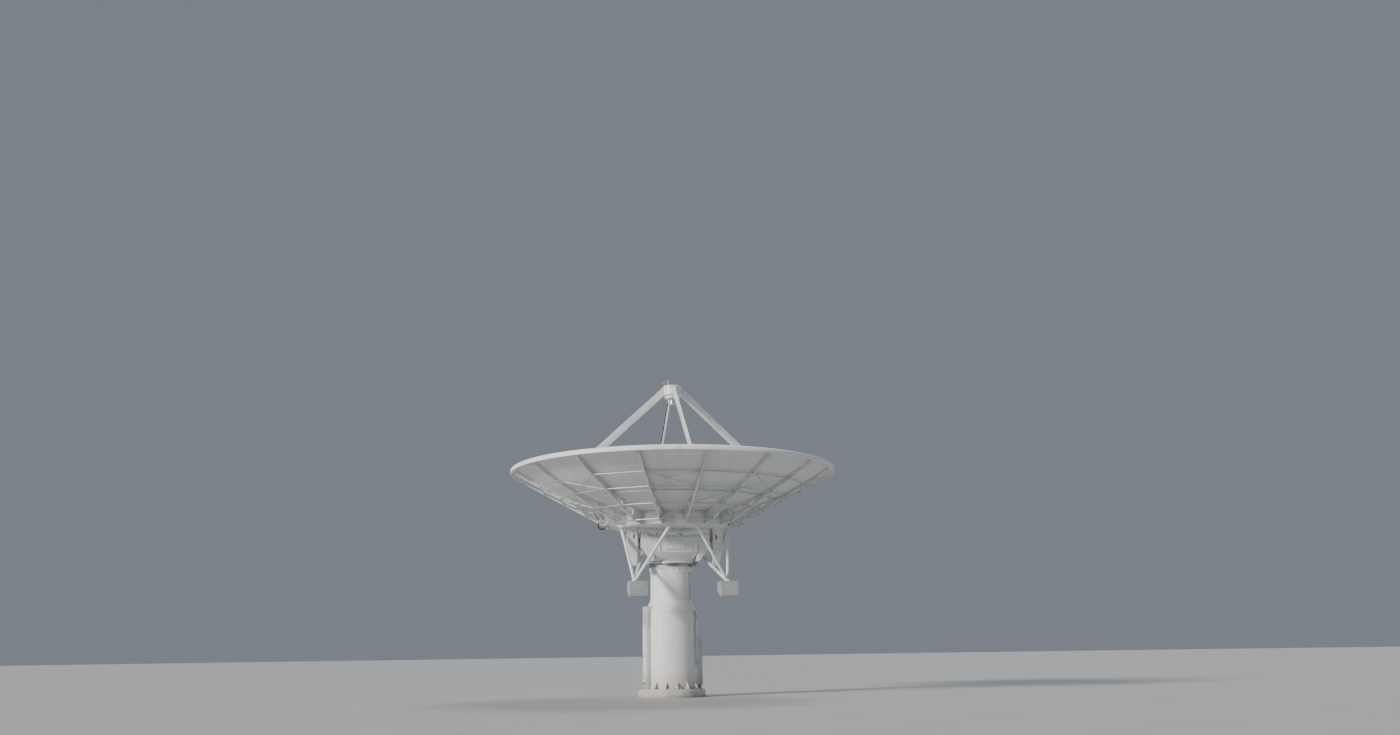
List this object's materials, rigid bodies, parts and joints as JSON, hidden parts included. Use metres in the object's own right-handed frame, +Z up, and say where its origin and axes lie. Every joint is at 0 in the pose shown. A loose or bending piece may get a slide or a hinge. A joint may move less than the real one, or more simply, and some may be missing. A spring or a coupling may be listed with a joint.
{
  "type": "radio telescope dish on a fixed pedestal",
  "caption": "Prime-focus radio telescope: a parabolic dish with a four-legged feed support, on a yoke that turns in azimuth and tips in elevation, on a steel pedestal.",
  "frame": {"origin": "on the ground under the pedestal, where the azimuth axis meets the underside of the foundation plinth", "axes": "+Z up along the azimuth axis; X along the elevation axis, with the junction cabinet on the +X side and the service housing on the -X side; the dish tips towards -Y"},
  "size_m": [12, 12, 11.655],
  "materials": {
    "concrete": "cast concrete, brushed top",
    "white_paint": "satin white paint over welded steel",
    "rib_paint": "satin white paint over light lattice frames",
    "leg_paint": "satin white paint over light plate",
    "reflector_skin": "matt white coat over a composite skin",
    "light_grey_paint": "light grey powder coat",
    "drive_paint": "grey machine enamel",
    "weight_paint": "mid grey paint over steel blocks",
    "bearing_steel": "machined and oiled",
    "horn_metal": "machined",
    "dark_plastic": "black"
  },
  "bodies": {
    "pedestal": {"foundation_plinth": "concrete", "base_flange": "white_paint", "lower_tower": "white_paint", "tower_cone": "white_paint", "upper_tower": "white_paint", "azimuth_bearing_fixed": "bearing_steel", "service_housing": "light_grey_paint", "access_door": "light_grey_paint", "junction_cabinet": "light_grey_paint"},
    "turnhead": {"azimuth_bearing_moving": "bearing_steel", "turntable_plate": "white_paint", "yoke_body": "white_paint", "yoke_arm_left": "white_paint", "yoke_arm_right": "white_paint", "azimuth_sensor_box": "drive_paint", "azimuth_drive_left": "drive_paint", "azimuth_drive_right": "drive_paint", "elevation_drive_left": "drive_paint", "elevation_drive_right": "drive_paint"},
    "dish": {"reflector_shell": "reflector_skin", "rim_edge": "reflector_skin", "hub_drum": "white_paint", "rib_01": "rib_paint", "rib_02": "rib_paint", "rib_03": "rib_paint", "rib_04": "rib_paint", "rib_05": "rib_paint", "rib_06": "rib_paint", "rib_07": "rib_paint", "rib_08": "rib_paint", "rib_09": "rib_paint", "rib_10": "rib_paint", "rib_11": "rib_paint", "rib_12": "rib_paint", "rib_13": "rib_paint", "rib_14": "rib_paint", "rib_15": "rib_paint", "rib_16": "rib_paint", "bracket_left": "white_paint", "bracket_right": "white_paint", "counterweight_left": "weight_paint", "counterweight_right": "weight_paint", "strut_side_left": "white_paint", "strut_side_right": "white_paint", "strut_front_left": "white_paint", "strut_front_right": "white_paint", "strut_back_left": "white_paint", "strut_back_right": "white_paint", "feed_leg_right": "leg_paint", "feed_leg_rear": "leg_paint", "feed_leg_left": "leg_paint", "feed_leg_front": "leg_paint", "apex_drum": "leg_paint", "lightning_rod": "bearing_steel", "ring_antenna": "bearing_steel", "obstruction_lamp": "dark_plastic", "feed_horn": "horn_metal", "loop_gland_inner": "light_grey_paint", "loop_gland_outer": "light_grey_paint", "conduit_loop": "dark_plastic"}
  },
  "joints": [
    {"name": "azimuth", "type": "hinge", "parent": "pedestal", "child": "turnhead", "pos_m": [0, 0, 4.7], "axis": [0, 0, 1], "range_deg": [-270, 270]},
    {"name": "elevation", "type": "hinge", "parent": "turnhead", "child": "dish", "pos_m": [0, -0.65, 5.45], "axis": [1, 0, 0], "range_deg": [0, 75]}
  ]
}
